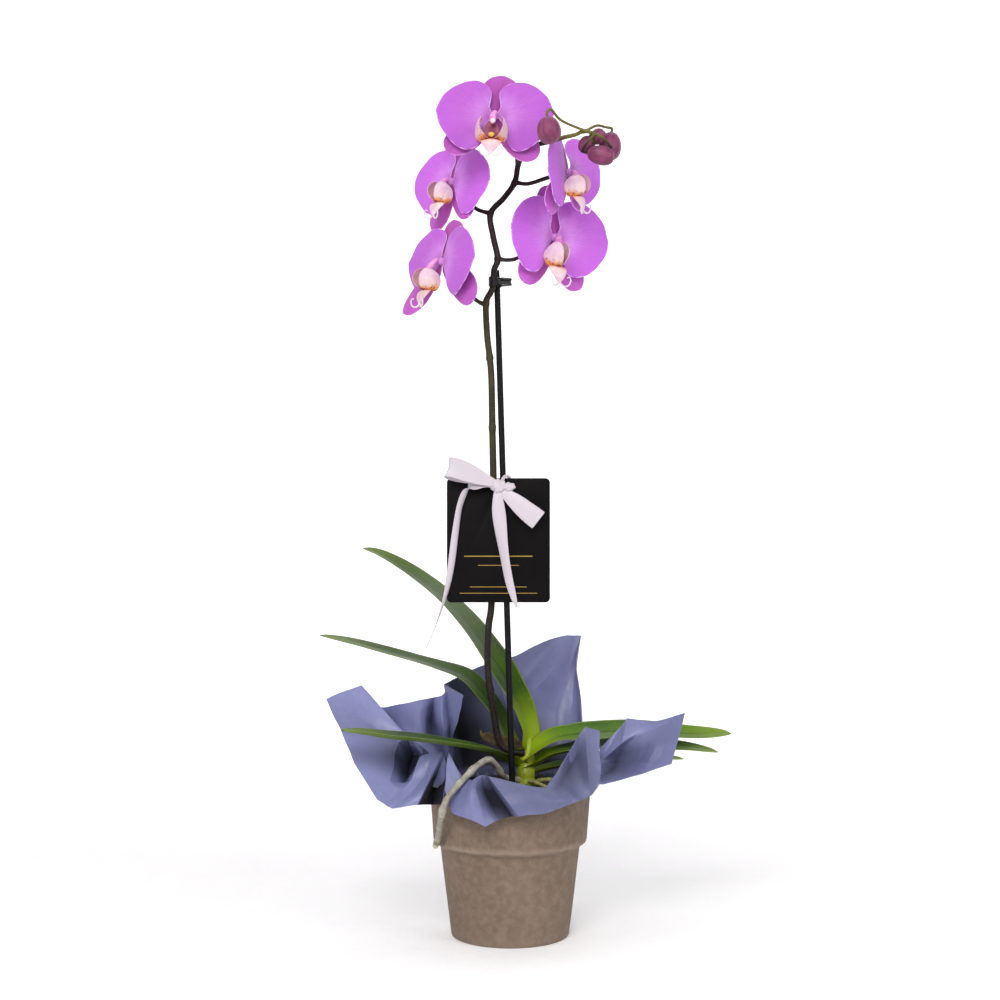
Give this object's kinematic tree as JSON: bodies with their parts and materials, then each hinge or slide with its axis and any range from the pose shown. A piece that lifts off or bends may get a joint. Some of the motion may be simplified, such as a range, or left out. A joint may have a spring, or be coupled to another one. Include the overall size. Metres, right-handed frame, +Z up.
{
  "type": "potted orchid",
  "caption": "Moth orchid in a clay pot with a flaring film wrap, strap leaves, a staked arching flower stem with open blooms and buds, a bare gift card and a ribbon.",
  "frame": {"origin": "centre of the clay pot's flat underside, on the pot's axis", "axes": "+Z up along the pot's axis, the longest extent; the front of the blooms and of the gift card faces -Y; +X is to the right as seen from the front"},
  "size_m": [0.3789, 0.194, 0.7515],
  "materials": {
    "clay": "matte taupe fired clay",
    "plastic": "thin black nursery pot",
    "bark": "rough dark bark chips",
    "film": "slate-blue satin wrapping film",
    "leaf": "satin fleshy leaf",
    "crown": "fleshy light green stem",
    "dry": "dry brown leaf base",
    "root": "matte grey-white root skin",
    "stem": "satin dark green-brown stem",
    "petal": "soft magenta-lilac petal",
    "lip": "soft white and pink lip with yellow and red marks",
    "bud": "soft plum bud",
    "stake": "dark coated rod",
    "clip": "black claw clip",
    "card": "matte black card with thin gold lines",
    "ribbon": "white satin"
  },
  "bodies": {
    "root": {"clay_pot": "clay", "grow_pot": "plastic", "wrap_sheet": "film", "growing_medium": "bark", "plant_crown": "crown", "leaf_1": "leaf", "leaf_2": "leaf", "leaf_3": "leaf", "leaf_4": "leaf", "leaf_5": "leaf", "leaf_6": "leaf", "old_leaf_base": "dry", "bloom_1": "petal", "bloom_1_lip": "lip", "bloom_2": "petal", "bloom_2_lip": "lip", "bloom_3": "petal", "bloom_3_lip": "lip", "bloom_4": "petal", "bloom_4_lip": "lip", "bloom_5": "petal", "bloom_5_lip": "lip", "bud_1": "bud", "bud_2": "bud", "bud_3": "bud", "bud_4": "bud", "bud_5": "bud", "flower_spike": "stem", "aerial_root": "root", "surface_root_1": "root", "surface_root_2": "root", "stake": "stake", "stem_clip": "clip", "gift_card": "card", "ribbon": "ribbon"}
  },
  "joints": []
}
